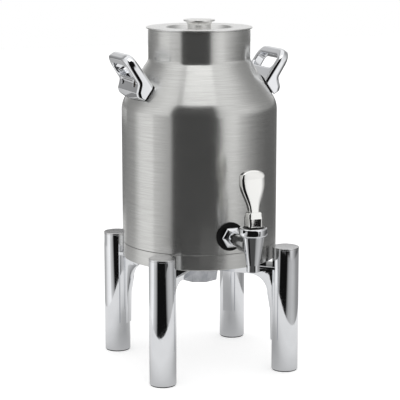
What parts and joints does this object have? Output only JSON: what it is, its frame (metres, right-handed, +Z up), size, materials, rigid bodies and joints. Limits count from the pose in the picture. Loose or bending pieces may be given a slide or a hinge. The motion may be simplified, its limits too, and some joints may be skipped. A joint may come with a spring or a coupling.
{
  "type": "milk dispenser",
  "caption": "Churn-shaped insulated milk dispenser with lift-off lid, loop handles and lever tap, standing on a chrome stand.",
  "frame": {"origin": "on the tank's upright axis, at the level of the table that the legs stand on", "axes": "+Z up, the tap points to -Y, the handles lie to -X and +X"},
  "size_m": [0.234, 0.296, 0.4627],
  "materials": {
    "brushed_steel": "brushed",
    "satin_steel": "satin",
    "chrome": "polished",
    "dark_steel": "satin",
    "black_plastic": "matt",
    "black_rubber": "matt",
    "silicone": "satin",
    "ice_pack": "gloss"
  },
  "bodies": {
    "stand": {"leg_front_left": "chrome", "leg_front_right": "chrome", "leg_rear_left": "chrome", "leg_rear_right": "chrome", "arm_front_left": "chrome", "arm_front_right": "chrome", "arm_rear_left": "chrome", "arm_rear_right": "chrome", "stand_hub": "chrome", "hub_plug": "chrome", "hub_screws": "satin_steel", "leg_caps": "satin_steel", "foot_glides": "black_plastic", "rest_pads": "black_rubber"},
    "tank": {"outer_shell": "brushed_steel", "base_cover": "brushed_steel", "inner_liner": "satin_steel", "cooling_pack": "ice_pack", "base_stud": "satin_steel", "base_nut": "satin_steel", "handle_left": "chrome", "handle_right": "chrome", "handle_pads": "black_rubber", "handle_screws": "dark_steel", "handle_nuts": "satin_steel", "tap_sleeve": "satin_steel", "outer_washer": "black_rubber", "hex_nut": "chrome", "inner_washer": "black_rubber", "back_nut": "satin_steel", "tap_body": "chrome", "tap_collar": "chrome", "collar_disc": "black_plastic", "valve_spring": "satin_steel"},
    "stem": {"valve_stem": "satin_steel", "seat_cup": "silicone"},
    "lever": {"tap_lever": "chrome", "lever_pin": "satin_steel"},
    "lid": {"lid": "satin_steel", "lid_knob": "satin_steel", "knob_screw": "satin_steel", "lid_ring": "satin_steel", "lid_gasket": "silicone"}
  },
  "joints": [
    {"name": "tank_lift", "type": "slide", "parent": "stand", "child": "tank", "axis": [0, 0, 1], "range_m": [0, 0.06]},
    {"name": "lid_lift", "type": "slide", "parent": "tank", "child": "lid", "axis": [0, 0, 1], "range_m": [0, 0.06]},
    {"name": "stem_lift", "type": "slide", "parent": "tank", "child": "stem", "axis": [0, 0, 1], "range_m": [0, 0.00397], "deforming": ["valve_spring"]},
    {"name": "lever_tilt", "type": "hinge", "parent": "stem", "child": "lever", "pos_m": [0, -0.174, 0.2241], "axis": [1, 0, 0], "range_deg": [0, 30], "stiffness_Nm_per_rad": 0.5, "springref_deg": -11.46}
  ],
  "couplings": [
    {"joint": "lever_tilt", "follows": "stem_lift", "rad_per_m": 131.6}
  ]
}
